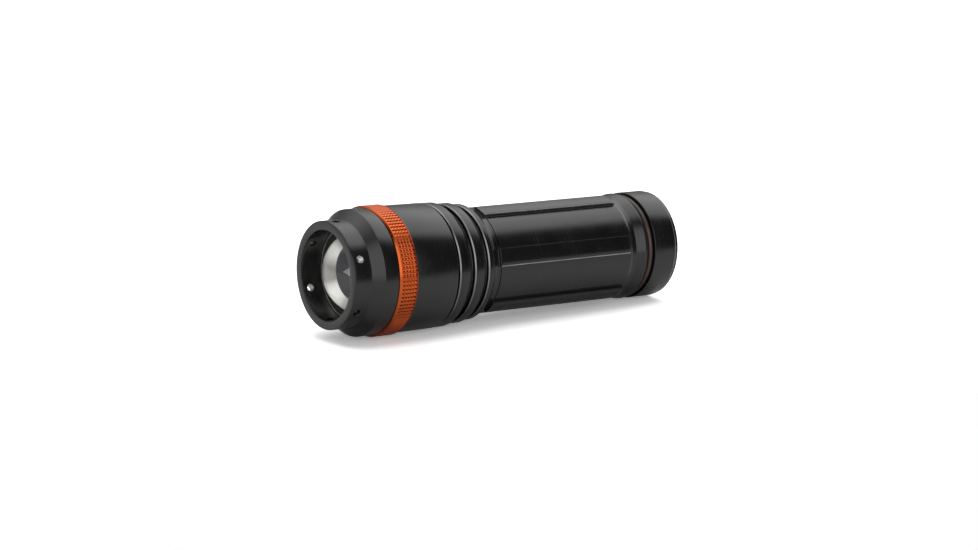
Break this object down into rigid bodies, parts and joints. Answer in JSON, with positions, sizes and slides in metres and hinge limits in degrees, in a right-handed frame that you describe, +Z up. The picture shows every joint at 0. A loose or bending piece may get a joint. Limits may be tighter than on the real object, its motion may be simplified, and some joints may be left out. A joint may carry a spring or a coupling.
{
  "type": "tactical flashlight",
  "caption": "Compact black zoom flashlight with a domed lens, knurled orange grip ring, sliding head, ribbed battery tube and screwed tail cap with a press button.",
  "frame": {"origin": "on the surface the light lies on, under the middle of its length and its widest ring", "axes": "+Z up as the light lies on its side, -Y out of the lens along the optical axis, +Y towards the tail button"},
  "size_m": [0.0338, 0.1042, 0.0337],
  "materials": {
    "black_anodised_aluminium": "satin black anodised, turned",
    "orange_anodised_aluminium": "orange anodised, knurled",
    "machined_aluminium": "bare machined",
    "black_rubber": "matt moulded",
    "brown_o_ring_rubber": "smooth, greased",
    "lens_glass": "polished clear",
    "white_solder_mask": "white solder mask over aluminium core",
    "green_circuit_board": "solder mask",
    "led_phosphor": "silicone over phosphor",
    "white_plastic": "moulded",
    "black_moulded_plastic": "moulded",
    "brass": "stamped",
    "nickel_plated_spring": "drawn wire, nickel plated",
    "steel": "plain",
    "cell_wrap": "shrink sleeve",
    "red_wire": "insulation",
    "black_wire": "insulation"
  },
  "bodies": {
    "body": {"body_tube": "black_anodised_aluminium", "led_pill": "machined_aluminium", "zoom_o_ring_front": "black_rubber", "zoom_o_ring_rear": "black_rubber", "led_star_board": "white_solder_mask", "led_emitter": "led_phosphor", "led_gasket": "white_plastic", "star_screw_a": "steel", "star_screw_b": "steel", "led_lead_positive": "red_wire", "led_lead_negative": "black_wire", "driver_board": "green_circuit_board", "driver_spring": "nickel_plated_spring"},
    "zoom_head": {"bezel_ring": "black_anodised_aluminium", "grip_ring": "orange_anodised_aluminium", "head_sleeve": "black_anodised_aluminium", "lens_seat_ring": "black_moulded_plastic", "lens": "lens_glass", "lens_o_ring": "black_rubber", "lens_clamp_ring": "black_anodised_aluminium"},
    "battery_pack": {"carrier_frame": "black_moulded_plastic", "cell_a": "cell_wrap", "cell_b": "cell_wrap", "cell_c": "cell_wrap", "cell_spring_a": "nickel_plated_spring", "cell_spring_b": "nickel_plated_spring", "cell_spring_c": "nickel_plated_spring", "carrier_front_contact": "brass", "carrier_rear_contact": "brass"},
    "tail_cap": {"tail_cap_shell": "black_anodised_aluminium", "tail_o_ring": "brown_o_ring_rubber", "switch_retainer": "machined_aluminium", "switch_board": "green_circuit_board", "switch_body": "black_moulded_plastic", "tail_spring": "nickel_plated_spring", "boot_washer": "white_plastic"},
    "tail_switch": {"tail_button": "black_rubber", "switch_plunger": "white_plastic"}
  },
  "joints": [
    {"name": "zoom_slide", "type": "slide", "parent": "body", "child": "zoom_head", "axis": [0, -1, 0], "range_m": [0, 0.007]},
    {"name": "pack_slide", "type": "slide", "parent": "body", "child": "battery_pack", "axis": [0, 1, 0], "range_m": [0, 0.004], "deforming": ["driver_spring"]},
    {"name": "tail_twist", "type": "hinge", "parent": "battery_pack", "child": "tail_cap", "pos_m": [0, 0.04415, 0.01687], "axis": [0, 1, 0], "range_deg": [0, 1440.01]},
    {"name": "button_press", "type": "slide", "parent": "tail_cap", "child": "tail_switch", "axis": [0, -1, 0], "range_m": [0, 0.0016], "stiffness_N_per_m": 1500}
  ],
  "couplings": [
    {"joint": "tail_twist", "follows": "pack_slide", "rad_per_m": 6283.2}
  ]
}
